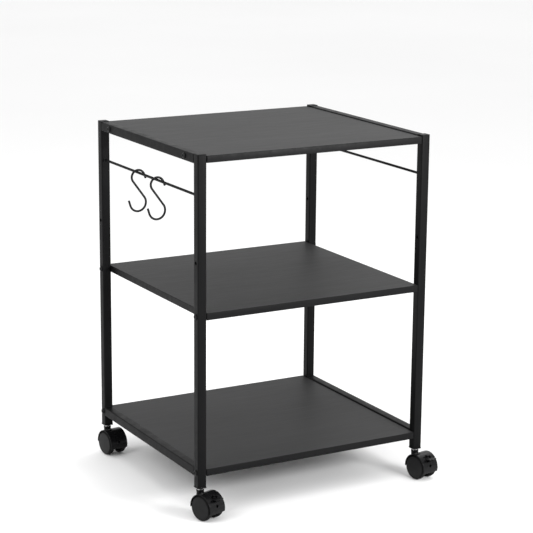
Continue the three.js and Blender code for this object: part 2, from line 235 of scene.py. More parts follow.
def boolean(obj, operation, tools):
    """Adds or cuts each tool in turn. Tools are bmeshes, and are used up."""
    for tool in tools:
        other = work_object(tool)
        change = obj.modifiers.new(operation, "BOOLEAN")
        change.operation = operation
        change.solver = "EXACT"
        change.object = other
        apply_modifiers(obj)
        bpy.data.objects.remove(other)
    return obj


def rounded(obj, width, segments=3, angle=35):
    """Rounds the edges sharper than angle."""
    bevel = obj.modifiers.new("bevel", "BEVEL")
    bevel.width = width
    bevel.segments = segments
    bevel.limit_method = "ANGLE"
    bevel.angle_limit = math.radians(angle)
    bevel.harden_normals = False
    apply_modifiers(obj)
    return obj


def moulded(obj, voxel, smoothing, keep):
    """Remeshes a solid finely and smooths it, so that every edge gets a moulding's small radius."""
    remesh = obj.modifiers.new("remesh", "REMESH")
    remesh.mode = "VOXEL"
    remesh.voxel_size = voxel
    smooth = obj.modifiers.new("smooth", "SMOOTH")
    smooth.factor = 0.5
    smooth.iterations = smoothing
    thin = obj.modifiers.new("thin", "DECIMATE")
    thin.ratio = keep
    apply_modifiers(obj)
    return obj


def place(obj, name, body, nodes, material, matrix=None, sharp=30):
    """Names a finished work object, scales it to metres, and puts it in the frame."""
    obj.name = name
    obj.data.name = name
    obj.data.transform(Matrix.Scale(MM, 4))
    for polygon in obj.data.polygons:
        polygon.use_smooth = True
    obj.data.set_sharp_from_angle(angle=math.radians(sharp))
    if matrix is not None:
        obj.matrix_world = Matrix.Translation(matrix.translation * MM) @ matrix.to_3x3().to_4x4()
    if material is not None:
        obj.data.materials.clear()
        obj.data.materials.append(material)
    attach(obj, body)
    if nodes:
        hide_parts(*nodes)
    return obj


# ---------------------------------------------------------------- materials


class Material:
    """A Principled material whose colour, roughness and bump come from procedural textures."""

    def __init__(self, name, roughness, metallic=0.0, specular=0.13):
        self.material = bpy.data.materials.new(name)
        self.material.use_nodes = True
        self.tree = self.material.node_tree
        self.shader = self.tree.nodes["Principled BSDF"]
        self.shader.inputs["Roughness"].default_value = roughness
        self.shader.inputs["Metallic"].default_value = metallic
        self.shader.inputs["Specular IOR Level"].default_value = specular
        self.place = self.add("ShaderNodeTexCoord").outputs["Object"]
        self.normal = None

    def add(self, kind, **inputs):
        node = self.tree.nodes.new(kind)
        for name, value in inputs.items():
            socket = node.inputs[name.replace("_", " ")]
            if isinstance(value, bpy.types.NodeSocket):
                self.tree.links.new(value, socket)
            else:
                socket.default_value = value
        return node

    def math(self, operation, first, second=0.0):
        node = self.tree.nodes.new("ShaderNodeMath")
        node.operation = operation
        for socket, value in zip(node.inputs, (first, second)):
            if isinstance(value, bpy.types.NodeSocket):
                self.tree.links.new(value, socket)
            else:
                socket.default_value = value
        return node.outputs[0]

    def stretched(self, scale):
        mapping = self.add("ShaderNodeMapping", Vector=self.place, Scale=scale)
        return mapping.outputs[0]

    def noise(self, scale, detail=3.0, roughness=0.5, distortion=0.0):
        """Noise from 0 to 1. Scale is cells per metre: one number, or one for each axis."""
        where = self.place
        if not isinstance(scale, (int, float)):
            where, scale = self.stretched(scale), 1.0
        node = self.add("ShaderNodeTexNoise", Vector=where, Scale=scale, Detail=detail, Roughness=roughness,
                        Distortion=distortion)
        return node.outputs[0]

    def remap(self, value, low, high, out_low, out_high):
        node = self.add("ShaderNodeMapRange", Value=value, From_Min=low, From_Max=high, To_Min=out_low,
                        To_Max=out_high)
        return node.outputs[0]

    def blend(self, factor, first, second):
        """Mixes two colours. Each is an RGB triple or another node's colour."""
        node = self.tree.nodes.new("ShaderNodeMix")
        node.data_type = "RGBA"
        self.tree.links.new(factor, node.inputs[0])
        for socket, value in ((node.inputs[6], first), (node.inputs[7], second)):
            if isinstance(value, bpy.types.NodeSocket):
                self.tree.links.new(value, socket)
            else:
                socket.default_value = (*value, 1)
        return node.outputs[2]

    def edges(self, radius_mm, low=0.02, high=0.25):
        """1 along sharp outer edges and 0 on flats, broken up by noise."""
        rounded_normal = self.add("ShaderNodeBevel", Radius=radius_mm * MM)
        flat_normal = self.add("ShaderNodeNewGeometry").outputs["Normal"]
        facing = self.tree.nodes.new("ShaderNodeVectorMath")
        facing.operation = "DOT_PRODUCT"
        self.tree.links.new(rounded_normal.outputs[0], facing.inputs[0])
        self.tree.links.new(flat_normal, facing.inputs[1])
        bent = self.math("SUBTRACT", 1.0, facing.outputs["Value"])
        mask = self.remap(bent, low, high, 0, 1)
        return self.math("MULTIPLY", mask, self.remap(self.noise(180.0, 4.0), 0.35, 0.65, 0.15, 1))

    def bump(self, height, depth_mm, strength=1.0):
        """Adds relief. Depth is the height of a full step of the texture."""
        node = self.add("ShaderNodeBump", Height=height, Distance=depth_mm * MM, Strength=strength)
        if self.normal is not None:
            self.tree.links.new(self.normal, node.inputs["Normal"])
        self.normal = node.outputs[0]

    def finish(self, colour, roughness=None):
        self.tree.links.new(colour, self.shader.inputs["Base Color"])
        if roughness is not None:
            self.tree.links.new(roughness, self.shader.inputs["Roughness"])
        if self.normal is not None:
            self.tree.links.new(self.normal, self.shader.inputs["Normal"])
        return self.material


def powder_coat_material():
    """Satin black powder coat: orange-peel relief, faint lengthways streaks, thinner and paler on edges."""
    m = Material("powder_coat", 0.42, specular=0.07)
    mottle = m.math("ADD", m.math("MULTIPLY", m.noise(26.0, 4.0, 0.6), 0.5),
                    m.math("MULTIPLY", m.noise((260.0, 260.0, 4.0), 3.0, 0.6), 0.5))
    peel = m.noise(1400.0, 2.0)
    base = m.blend(m.remap(mottle, 0.3, 0.7, 0, 1), (0.0024, 0.0024, 0.0026), (0.0054, 0.0054, 0.0057))
    colour = m.blend(m.math("MULTIPLY", m.edges(0.5), 0.5), base, (0.045, 0.045, 0.047))
    m.bump(peel, 0.035)
    m.bump(m.noise(90.0, 2.0), 0.06)
    roughness = m.remap(m.noise(60.0, 5.0, 0.65), 0.3, 0.7, 0.36, 0.5)
    return m.finish(colour, roughness)


def laminate_material():
    """Dark grey melamine with a faint ash grain that runs from side to side."""
    m = Material("laminate", 0.5)
    drift = m.noise((2.2, 9.0, 9.0), 3.0, 0.5, 0.6)
    fibre = m.noise((16.0, 620.0, 620.0), 5.0, 0.62, 0.25)
    speck = m.noise(1500.0, 2.0)
    grain = m.math("ADD", m.math("MULTIPLY", fibre, 0.7), m.math("MULTIPLY", drift, 0.3))
    base = m.blend(m.remap(grain, 0.34, 0.66, 0, 1), (0.017, 0.017, 0.0174), (0.031, 0.031, 0.0315))
    pore = m.remap(m.noise((30.0, 1300.0, 1300.0), 2.0), 0.6, 0.72, 0, 0.35)
    colour = m.blend(pore, base, (0.013, 0.013, 0.0135))
    m.bump(fibre, 0.05, 0.6)
    m.bump(speck, 0.012)
    roughness = m.remap(fibre, 0.3, 0.7, 0.46, 0.6)
    return m.finish(colour, roughness)


def edge_band_material():
    """Near-black plastic edging with fine lengthways lines from its extrusion."""
    m = Material("edge_band", 0.45, specular=0.09)
    lines = m.noise((8.0, 8.0, 900.0), 3.0)
    base = m.blend(m.remap(lines, 0.3, 0.7, 0, 1), (0.0035, 0.0035, 0.0038), (0.0065, 0.0065, 0.0068))
    colour = m.blend(m.math("MULTIPLY", m.edges(0.4), 0.4), base, (0.035, 0.035, 0.036))
    m.bump(lines, 0.015)
    roughness = m.remap(m.noise(140.0, 4.0), 0.3, 0.7, 0.38, 0.52)
    return m.finish(colour, roughness)


def moulded_plastic_material(name, colour, roughness, grain_scale, grain_depth_mm, pale_edges):
    """Black moulded plastic: fine tool texture, slightly scuffed, edges paler: polished by handling, and on
    the caps partly a painted highlight.
    """
    m = Material(name, roughness)
    dark = tuple(0.8 * c for c in colour)
    light = tuple(1.25 * c for c in colour)
    base = m.blend(m.remap(m.noise(70.0, 4.0), 0.3, 0.7, 0, 1), dark, light)
    scuff = m.remap(m.noise((240.0, 240.0, 60.0), 6.0, 0.7, 0.8), 0.6, 0.75, 0, 1)
    scuffed = m.blend(m.math("MULTIPLY", scuff, 0.35), base, tuple(2.6 * c for c in colour))
    # Paler edges: edge wear, and on the caps partly a painted highlight along the lip.
    final = m.blend(m.math("MULTIPLY", m.edges(0.5), pale_edges), scuffed, (0.05, 0.05, 0.052))
    m.bump(m.noise(grain_scale, 3.0), grain_depth_mm)
    rough = m.remap(m.math("ADD", m.noise(110.0, 5.0, 0.6), m.math("MULTIPLY", scuff, 0.25)), 0.3, 0.9,
                    roughness - 0.07, roughness + 0.14)
    return m.finish(final, rough)


def wheel_material():
    """Wheel nylon: turning rings on the disc, and a matt tread darkened from the shoulder out, partly as
    painted shade in the gap under the hood, with a little floor dust.
    """
    m = Material("wheel_nylon", 0.36)
    apart = m.add("ShaderNodeSeparateXYZ", Vector=m.place)
    squares = [m.math("POWER", apart.outputs[axis], 2.0) for axis in ("X", "Y")]
    radius = m.math("SQRT", m.math("ADD", *squares))
    tread = m.remap(radius, tread_start * MM, (tread_start + 0.6) * MM, 0, 1)
    crown = m.remap(radius, (wheel_radius - 0.5) * MM, wheel_radius * MM, 0, 1)
    rings = m.math("SINE", m.math("MULTIPLY", radius, 2 * math.pi / (0.9 * MM)))
    mottle = m.remap(m.noise(80.0, 4.0), 0.3, 0.7, 0, 1)
    base = m.blend(mottle, (0.0042, 0.0042, 0.0046), (0.0072, 0.0072, 0.0076))
    # Darker from the shoulder outwards: a darker tread, and painted shade in the gap between the wheel and
    # the hood.
    tread_dark_and_gap_shade = m.blend(tread, base, (0.0022, 0.0022, 0.0023))
    dust = m.math("MULTIPLY", crown, m.remap(m.noise(300.0, 5.0, 0.7), 0.35, 0.7, 0, 0.4))
    dusty = m.blend(dust, tread_dark_and_gap_shade, (0.016, 0.0155, 0.015))
    polish = m.math("MULTIPLY", m.edges(0.4), m.math("SUBTRACT", 0.45, m.math("MULTIPLY", tread, 0.4)))
    final = m.blend(polish, dusty, (0.06, 0.06, 0.061))
    m.bump(rings, 0.006)
    m.bump(m.noise(1600.0, 2.0), 0.012)
    rough = m.math("ADD", m.remap(m.noise(120.0, 5.0), 0.3, 0.7, 0.3, 0.42), m.math("MULTIPLY", tread, 0.3))
    return m.finish(final, rough)


def bright_steel_material():
    """Bright zinc plate with turning marks and a light haze."""
    m = Material("bright_steel", 0.28, 1.0)
    haze = m.noise(220.0, 4.0)
    colour = m.blend(m.remap(haze, 0.3, 0.7, 0, 1), (0.78, 0.78, 0.79), (0.92, 0.92, 0.92))
    m.bump(m.noise((60.0, 60.0, 4000.0), 2.0), 0.01)
    return m.finish(colour, m.remap(haze, 0.3, 0.7, 0.16, 0.3))


def black_steel_material():
    """Black-coated wire and bolts: smooth, fairly glossy, rubbed a little on high spots."""
    m = Material("black_steel", 0.3)
    mottle = m.remap(m.noise(150.0, 4.0), 0.3, 0.7, 0, 1)
    base = m.blend(mottle, (0.004, 0.004, 0.0045), (0.008, 0.008, 0.0085))
    colour = m.blend(m.math("MULTIPLY", m.edges(0.3), 0.4), base, (0.06, 0.06, 0.061))
    m.bump(m.noise(900.0, 3.0), 0.012)
    return m.finish(colour, m.remap(m.noise(200.0, 4.0), 0.3, 0.7, 0.24, 0.38))


POWDER_COAT = powder_coat_material()
LAMINATE = laminate_material()
EDGE_BAND = edge_band_material()
# The caps' pale edges are edge wear and partly a painted highlight on the lip.
CAP_PLASTIC = moulded_plastic_material("cap_plastic", (0.006, 0.006, 0.0064), 0.5, 1100.0, 0.02, 0.6)
CASTER_PLASTIC = moulded_plastic_material("caster_plastic", (0.0042, 0.0042, 0.0046), 0.27, 1500.0,
                                          0.012, 0.5)
WHEEL_NYLON = wheel_material()
BRIGHT_STEEL = bright_steel_material()
BLACK_STEEL = black_steel_material()

# ---------------------------------------------------------------- side frames


def square_tube(length):
    """Square tube on the Z axis, standing on z = 0, with softened ends."""
    half = tube_side / 2
    bore = half - tube_wall
    inner_corner = max(tube_corner - tube_wall, 0.4)
    end = 0.25
    rings = [
        ring_points(half - end, half - end, tube_corner - end, 0, 8),
        ring_points(half, half, tube_corner, end, 8),
        ring_points(half, half, tube_corner, length - end, 8),
        ring_points(half - end, half - end, tube_corner - end, length, 8),
        ring_points(bore, bore, inner_corner, length, 8),
        ring_points(bore, bore, inner_corner, 0, 8),
    ]
    return loft(rings, looped=True)


LYING = Matrix.Rotation(math.pi / 2, 4, "X")


def cross_hole(y, z):
    return bar(bolt_hole_radius, Vector((-tube_side, y, z)), Vector((tube_side, y, z)))


def make_post(corner):
    node = f"post_{corner}"
    low, high = box_mm(node)
    middle = middle_mm(node)
    bolt_end, bolt_side = corner.split("_")
    bolts = [f"{board}_bolt_{bolt_end}_{bolt_side}" for board in ("bottom_board", "middle_board")]
    heights = [middle_mm(bolt).z for bolt in bolts]
    heights.append(heights[-1] + spare_hole_rise)
    post = work_object(square_tube(high.z - low.z))
    boolean(post, "DIFFERENCE", [cross_hole(0, z - low.z) for z in heights])
    where = Matrix.Translation((middle.x, middle.y, low.z))
    place(post, f"tube_{corner}", "frame", [node], POWDER_COAT, where)


def make_rail(node, bolts):
    low, high = box_mm(node)
    middle = middle_mm(node)
    length = high.y - low.y
    rail = work_object(moved(square_tube(length), Matrix.Translation((0, 0, -length / 2))))
    holes = [middle_mm(bolt) - middle for bolt in bolts]
    boolean(rail, "DIFFERENCE", [cross_hole(hole.z, -hole.y) for hole in holes])
    where = Matrix.Translation(middle) @ LYING
    place(rail, f"{node}_tube", "frame", [node], POWDER_COAT, where)


def weld_ring(radius, size, way):
    """A rippled fillet weld round a rod at a post's face. Way is +1 or -1 on Y."""
    steps, profile_steps = 48, 6
    rings = []
    for k in range(profile_steps + 1):
        angle = math.pi / 2 * k / profile_steps
        out = radius - 0.2 + size * (1 - math.sin(angle)) * 1.15
        along = size * (1 - math.cos(angle))
        ring = []
        for i in range(steps):
            turn = 2 * math.pi * i / steps
            ripple = 1 + 0.16 * math.sin(9 * turn) + 0.1 * math.sin(5 * turn + 1)
            reach = radius - 0.2 + (out - radius + 0.2) * ripple
            ring.append(Vector((reach * math.cos(turn), way * along * ripple, reach * math.sin(turn))))
        rings.append(ring)
    return loft(rings)


def weld_seam(half_length, size, phase):
    """A straight fillet along X in a corner between -Y (the post) and -Z (the rail), with ripples."""
    steps, profile_steps = 60, 5
    rings = []
    for i in range(steps + 1):
        x = half_length * (2 * i / steps - 1)
        fade = min(1, 4 * (1 - abs(x) / half_length) + 0.25)
        ripple = size * fade * (1 + 0.16 * math.sin(2.4 * x + phase) + 0.08 * math.sin(5.1 * x))
        ring = [Vector((x, -0.5, -0.5)), Vector((x, ripple, -0.5))]
        for k in range(profile_steps + 1):
            angle = math.pi / 2 * k / profile_steps
            out, up = ripple * (1 - math.sin(angle)) * 0.9, ripple * (1 - math.cos(angle)) * 0.9
            ring.append(Vector((x, out, up)))
        ring.append(Vector((x, -0.5, ripple)))
        rings.append(ring)
    return loft(rings)


def make_rod(side):
    node = f"hanging_rod_{side}"
    low, high = box_mm(node)
    middle = middle_mm(node)
    half_length = (high.y - low.y) / 2 + gap
    rod = work_object(bar(rod_radius, -half_length * UP, half_length * UP, 48))
    where = Matrix.Translation(middle) @ LYING
    place(rod, f"{node}_bar", "frame", [node], POWDER_COAT, where)
    for end, y, way in (("front", front_post_face, 1), ("rear", rear_post_face, -1)):
        ring = work_object(weld_ring(rod_radius, 1.5, way))
        where = Matrix.Translation((middle.x, y, middle.z))
        place(ring, f"{node}_weld_{end}", "frame", [], POWDER_COAT, where, sharp=80)


def make_rail_welds(node):
    """Fillets below and above each end of a rail, where it meets the posts. A top rail has none above."""
    low, high = box_mm(node)
    middle = middle_mm(node)
    half = tube_side / 2 - tube_corner
    for end, y, flip in (("front", front_post_face, 1), ("rear", rear_post_face, -1)):
        for face, z, over in (("upper", high.z, 1), ("lower", low.z, -1)):
            if face == "upper" and node.startswith("top_rail"):
                continue
            seam = weld_seam(half, 1.1, 0.7 * (flip + 2 * over))
            scale = Matrix.Diagonal((1, flip, over, 1))
            seam.transform(scale)
            bmesh.ops.recalc_face_normals(seam, faces=seam.faces)
            where = Matrix.Translation((middle.x, y, z))
            name = f"{node}_weld_{end}_{face}"
            place(work_object(seam), name, "frame", [], POWDER_COAT, where, sharp=80)


def make_top_cap(corner):
    """A thin lid with a soft rim, on a hollow plug that fits inside the tube."""
    node = f"top_cap_{corner}"
    low, high = box_mm(node)
    middle = middle_mm(node)
    half = tube_side / 2
    grip = half - tube_wall - gap
    foot = low.z - post_high.z
    top = high.z - post_high.z
    rings = [
        ring_points(grip - 1.8, grip - 1.8, 0.4, -0.2),
        ring_points(grip - 1.8, grip - 1.8, 0.4, foot),
        ring_points(grip - 0.5, grip - 0.5, 0.8, foot),
        ring_points(grip, grip, 0.8, foot + 1.2),
        ring_points(grip, grip, 0.8, 0.25),
        ring_points(half - 0.35, half - 0.35, tube_corner, 0.25),
        ring_points(half, half, tube_corner, 0.4),
        ring_points(half, half, tube_corner, top - 0.32),
        ring_points(half - 0.12, half - 0.12, tube_corner, top - 0.12),
        ring_points(half - 0.4, half - 0.4, tube_corner, top - 0.02),
        ring_points(half - 0.8, half - 0.8, tube_corner - 0.3, top),
    ]
    where = Matrix.Translation((middle.x, middle.y, post_high.z))
    place(work_object(loft(rings)), f"cap_{corner}", "frame", [node], CAP_PLASTIC, where,
          sharp=50)


def make_insert(corner):
    """The foot insert: a lip under the post and a plug with a round hole for the stem."""
    node = f"stem_insert_{corner}"
    middle = middle_mm(node)
    lip = (insert_high.x - insert_low.x) / 2
    grip = tube_side / 2 - tube_wall - gap
    lip_top = post_low.z - insert_low.z - 0.25
    top = insert_high.z - insert_low.z
    corner_radius = tube_corner + 0.5
    rings = [
        ring_points(lip - 1.1, lip - 1.1, corner_radius - 0.6, 0),
        ring_points(lip - 0.35, lip - 0.35, corner_radius, 0.2),
        ring_points(lip, lip, corner_radius, 0.7),
        ring_points(lip, lip, corner_radius, lip_top - 0.4),
        ring_points(lip - 0.3, lip - 0.3, corner_radius, lip_top),
        ring_points(grip, grip, 0.8, lip_top),
        ring_points(grip, grip, 0.8, top - 1),
        ring_points(grip - 0.6, grip - 0.6, 0.8, top),
    ]
    insert = work_object(loft(rings))
    boolean(insert, "DIFFERENCE", [bar(stem_hole_radius, Vector((0, 0, -5)), Vector((0, 0, top + 5)), 48)])
    where = Matrix.Translation((middle.x, middle.y, insert_low.z))
    place(insert, f"foot_insert_{corner}", "frame", [node], CAP_PLASTIC, where, sharp=50)


for corner in CORNERS:
    make_post(corner)
    make_top_cap(corner)
    make_insert(corner)
for side in SIDES:
    make_rail(f"top_rail_{side}", [f"top_board_bolt_{end}_{side}" for end in ("front", "rear")])
    make_rail(f"bottom_rail_{side}", [])
    make_rod(side)
    for rail in ("top_rail", "bottom_rail"):
        make_rail_welds(f"{rail}_{side}")

# ---------------------------------------------------------------- boards and bolts


def make_board(node):
    """A laminated board: two grained faces, and edging that shows as a thin dark border on them."""
    low, high = box_mm(node)
    middle = middle_mm(node)
    half_x, half_y, thickness = (high.x - low.x) / 2, (high.y - low.y) / 2, high.z - low.z
    corner, edge = 1.6, 0.5
    rings = []
    for k in range(5):
        angle = math.pi / 2 * k / 4
        inset = edge * (1 - math.sin(angle))
        rings.append((inset, edge * (1 - math.cos(angle))))
    outline = [(edge + board_border, 0)] + rings
    outline += [(inset, thickness - height) for inset, height in reversed(outline)]
    loops = [ring_points(half_x - i, half_y - i, corner - min(i, 1.1), z, 8) for i, z in outline]
    board = work_object(loft(loops))
    holes = []
    for end in ("front", "rear"):
        for side, way in zip(SIDES, (-1, 1)):
            bolt = middle_mm(f"{node}_bolt_{end}_{side}")
            start = Vector((way * (half_x + 5), bolt.y - middle.y, thickness / 2))
            holes.append(bar(bolt_hole_radius, start, start - Vector((way * 25, 0, 0)), 24))
    boolean(board, "DIFFERENCE", holes)
    where = Matrix.Translation((middle.x, middle.y, low.z))
    place(board, f"{node}_panel", "frame", [node], None, where, sharp=50)
    board.data.materials.clear()
    board.data.materials.append(LAMINATE)
    board.data.materials.append(EDGE_BAND)
    full_face = 0.5 * half_x * half_y * MM * MM
    for polygon in board.data.polygons:
        polygon.material_index = 0 if polygon.area > full_face else 1


def bolt_mesh():
    """A button-head bolt with a hexagon socket, its head on z = 0 facing +Z."""
    length = 34
    head_radius, head_height, rim = 5, 2, 0.45
    profile = [(0, -length), (2.5, -length), (2.9, -length + 0.5), (2.9, 0), (head_radius - 0.2, 0),
               (head_radius, 0.2), (head_radius, rim)]
    for k in range(1, 9):
        angle = math.radians(90 * k / 8)
        reach = 2.7 + (head_radius - 2.7) * math.cos(angle)
        profile.append((reach, rim + (head_height - rim) * math.sin(angle)))
    profile.append((0, head_height))
    bolt = work_object(turned(profile, 48))
    socket_radius, socket_depth = 2.3, 1.3
    turns = [math.radians(60 * i) for i in range(6)]
    socket = [Vector((socket_radius * math.cos(a), socket_radius * math.sin(a), 0)) for a in turns]
    rings = [[p + UP * z for p in socket] for z in (head_height - socket_depth, head_height + 1)]
    boolean(bolt, "DIFFERENCE", [loft(rings)])
    return rounded(bolt, 0.12, 2, 40)


def make_bolts():
    pattern = bolt_mesh()
    for board in BOARDS:
        for end in ("front", "rear"):
            for side, way in zip(SIDES, (-1, 1)):
                node = f"{board}_bolt_{end}_{side}"
                low, high = box_mm(node)
                middle = middle_mm(node)
                head_seat = (low.x + 2) if way < 0 else (high.x - 2)
                bolt = pattern.copy()
                bolt.data = pattern.data.copy()
                bpy.context.scene.collection.objects.link(bolt)
                turn = Matrix.Rotation(way * math.pi / 2, 4, "Y")
                where = Matrix.Translation((head_seat, middle.y, middle.z)) @ turn
                place(bolt, f"{board}_screw_{end}_{side}", "frame", [node], BLACK_STEEL, where)
    bpy.data.objects.remove(pattern)


for board in BOARDS:
    make_board(board)
make_bolts()

# ---------------------------------------------------------------- casters


def at_axle(forward, up):
    """A point given forward of and above a caster's axle, in the caster's own frame."""
    return Vector((0, -caster_trail - forward, wheel_height + up))


brake_pivot = (
    brake_pivot_radius * math.cos(math.radians(brake_pivot_angle)),
    brake_pivot_radius * math.sin(math.radians(brake_pivot_angle)),
)


def hood_solid(brake):
    """The hood over both wheels, the housing between them and the neck, as one moulding."""
    shell = ring_slice(hood_bore - hood_rib, hood_radius, hood_front_angle, hood_rear_angle)
    hood = work_object(across(shell, hood_half_width))
    housing = arc((0, 0), hood_bore + 0.5, 0, hood_rear_angle, 40) + arc((0, 0), 10.5, 205, 335, 16)
    neck = turned(
        [
            (0, 27),
            (3.6, 27),
            (6.2, 30.5),
            (6.7, 36),
            (6.5, 40),
            (6.5, 43.5),
            (6.7, 46),
            (6.8, 47.7),
            (6.4, 48.3),
            (0, 48.3),
        ],
        64,
    )
    boolean(hood, "UNION", [across(housing, housing_half_width), neck])
    tools = []
    for way in (1, -1):
        inner = Vector((way * (housing_half_width + 0.3), 0, 0)) + at_axle(0, 0)
        outer = Vector((way * (wheel_outer_face + 10), 0, 0)) + at_axle(0, 0)
        tools.append(bar(hood_bore, inner, outer, 96))
    tools.append(bar(stem_hole_radius, Vector((0, 0, 32)), Vector((0, 0, 60)), 32))
    across_hood = Vector((wheel_outer_face, 0, 0))
    tools.append(bar(axle_hole_radius, at_axle(0, 0) - across_hood, at_axle(0, 0) + across_hood, 24))
    hole_way = (math.cos(math.radians(front_hole_angle)), math.sin(math.radians(front_hole_angle)))
    hole_ends = [at_axle(radius * hole_way[0], radius * hole_way[1]) for radius in (19, 27)]
    tools.append(bar(front_hole_radius, *hole_ends, 24))
    if brake:
        tools.append(across(ring_slice(21.8, 30, 33, 59, 16), brake_pedal_half_width + brake_slot_gap))
        tools.append(across(ring_slice(16.4, 30, 33, 66, 16), brake_arm_half_width + brake_slot_gap))
        pin = Vector((housing_half_width + 1, 0, 0))
        tools.append(bar(brake_pin_hole_radius, at_axle(*brake_pivot) - pin, at_axle(*brake_pivot) + pin, 16))
    boolean(hood, "DIFFERENCE", tools)
    return moulded(hood, 0.34, 4, 0.4)


def wheel_solid():
    """One wheel on the Z axis, outer face up: rounded shoulder, a step ring and a slightly domed disc."""
    face, crown, half_tread = wheel_outer_face - 0.4, 12.7, 4.9
    profile = [(0, 15.5), (axle_hole_radius, 15.5), (axle_hole_radius, wheel_inner_face)]
    profile += [(5.6, wheel_inner_face), (5.9, 8.2), (5.9, 14.9), (6.4, 15.3), (17.8, 15.3)]
    profile += [(18.4, 14.8), (18.4, 8.2), (18.8, 7.6)]
    for step in range(-10, 11):
        way = step / 10
        profile.append((wheel_radius - 1.7 * abs(way) ** 2.4, crown + half_tread * way))
    profile += [(20, face - 0.1), (19.6, face), (19.3, face), (19.1, face - 0.3), (18.8, face - 0.3)]
    profile.append((disc_edge, face))
    for radius in range(18, -1, -2):
        dome = (wheel_outer_face - face) * math.cos(math.pi / 2 * radius / disc_edge)
        profile.append((radius, face + dome))
    return work_object(turned(profile, 128))


def brake_lever_solid():
    """The lever in the caster's frame: an arm on the pin, and a wide pedal with grip ribs on top."""
    start, reach, half = 6.9, 19, 1.4
    arm = arc((0, 0), 2.6, 40, 320, 20) + [(start + 3, -1.2), (start + 3, 1.2)]
    pedal = [(start, -half), (reach - 1, -half + 0.5)]
    pedal += arc((reach - 1, 0.3), 0.9, -90, 90, 8) + [(start, half)]
    rise = math.radians(brake_pedal_rise)

    def placed(outline):
        turned_points = []
        for forward, up in outline:
            x = brake_pivot[0] + forward * math.cos(rise) - up * math.sin(rise)
            y = brake_pivot[1] + forward * math.sin(rise) + up * math.cos(rise)
            turned_points.append((x, y))
        return turned_points

    lever = work_object(across(placed(arm), brake_arm_half_width))
    ribs = []
    for k in range(3):
        centre = start + 4.5 + 2.2 * k
        rib = [(centre - 0.45, 0.9), (centre + 0.45, 0.9), (centre + 0.3, 1.75), (centre - 0.3, 1.75)]
        ribs.append(across(placed(rib), 6.4))
    boolean(lever, "UNION", [across(placed(pedal), brake_pedal_half_width)] + ribs)
    pin = Vector((4, 0, 0))
    hole = bar(brake_pin_hole_radius, at_axle(*brake_pivot) - pin, at_axle(*brake_pivot) + pin, 24)
    boolean(lever, "DIFFERENCE", [hole])
    return moulded(lever, 0.22, 3, 0.4)


def stem_solid():
    """The stem with its bright collar, on the swivel axis."""
    shank, rim = stem_radius - 0.1, collar_radius - 0.2
    profile = [(0, stem_foot), (shank - 0.5, stem_foot), (shank, stem_foot + 0.5), (shank, collar_bottom)]
    profile += [(rim, collar_bottom), (collar_radius, collar_bottom + 0.2), (collar_radius, collar_top - 0.2)]
    profile += [(rim, collar_top), (stem_radius, collar_top), (stem_radius, stem_top - 0.7)]
    profile += [(stem_radius - 0.7, stem_top), (0, stem_top)]
    return work_object(turned(profile, 64))


def copy_of(pattern):
    copy = pattern.copy()
    copy.data = pattern.data.copy()
    bpy.context.scene.collection.objects.link(copy)
    return copy


def make_casters():
    hoods = {True: hood_solid(True), False: hood_solid(False)}
    wheel, lever, stem = wheel_solid(), brake_lever_solid(), stem_solid()
    for corner in CORNERS:
        body = f"caster_{corner}"
        swivel = Vector(swivels[body]["pos_m"]) / MM
        axle = Vector(swivels[f"{body}_wheel_right"]["axis"])
        turn = Matrix.Rotation(math.atan2(axle.y, axle.x), 4, "Z")
        where = Matrix.Translation((swivel.x, swivel.y, 0)) @ turn
        brake = corner in BRAKED
        place(copy_of(hoods[brake]), f"{body}_shell", body, [f"{body}_hood"],
              CASTER_PLASTIC, where, sharp=70)
        place(copy_of(stem), f"{body}_swivel_stem", "frame", [f"{body}_stem"],
              BRIGHT_STEEL, where)
        for side, way in zip(SIDES, (-1, 1)):
            node = f"{body}_wheel_{side}"
            seat = where @ Matrix.Translation(at_axle(0, 0)) @ Matrix.Rotation(way * math.pi / 2, 4, "Y")
            place(copy_of(wheel), f"{node}_disc", node, [node], WHEEL_NYLON, seat)
        if brake:
            node = f"{body}_brake_lever"
            place(copy_of(lever), f"{node}_pedal", node, [node], CASTER_PLASTIC, where,
                  sharp=70)
            frame["nodes"][f"{body}_brake_pin"].data.materials[0] = BRIGHT_STEEL
        frame["nodes"][f"{body}_axle"].data.materials[0] = BRIGHT_STEEL
    for pattern in (*hoods.values(), wheel, lever, stem):
        bpy.data.objects.remove(pattern)


make_casters()

# ---------------------------------------------------------------- S-hooks

hook_low, hook_high = box_mm("s_hook_front")
wire_radius = (hook_high.y - hook_low.y) / 2
upper_radius = 12.2
lower_radius = 15.2
loop_spacing = 45.3
lower_lean = 2
upper_end = 19.5
lower_end = -164
upper_tip = 8
lower_tip = 10


def hook_line():
    """The wire's centre line in the XZ plane, round the upper loop's centre, with points about 1 mm apart."""
    lower = Vector((-lower_lean, -loop_spacing))
    crossing = math.asin((upper_radius + lower_radius) / lower.length)
    shank = math.atan2(lower.y, lower.x) + crossing
    leave = math.degrees(shank) - 90 + 360
    enter = math.degrees(shank) + 90
    points = []

    def straight(start, way, length):
        steps = round(length)
        points.extend(start + way * (length * i / steps) for i in range(steps))

    def tip_way(angle):
        return Vector((math.sin(math.radians(angle)), -math.cos(math.radians(angle))))

    def on(centre, radius, angle):
        return centre + radius * Vector((math.cos(math.radians(angle)), math.sin(math.radians(angle))))

    origin = Vector((0, 0))
    first = on(origin, upper_radius, upper_end)
    straight(first + tip_way(upper_end) * upper_tip, -tip_way(upper_end), upper_tip)
    points.extend(Vector(p) for p in arc(origin, upper_radius, upper_end, leave, 48)[:-1])
    shank_start = on(origin, upper_radius, leave)
    shank_end = on(lower, lower_radius, enter)
    straight(shank_start, (shank_end - shank_start).normalized(), (shank_end - shank_start).length)
    points.extend(Vector(p) for p in arc(lower, lower_radius, enter, lower_end, 56)[:-1])
    last = on(lower, lower_radius, lower_end)
    straight(last, tip_way(lower_end), lower_tip)
    points.append(last + tip_way(lower_end) * lower_tip)
    return points


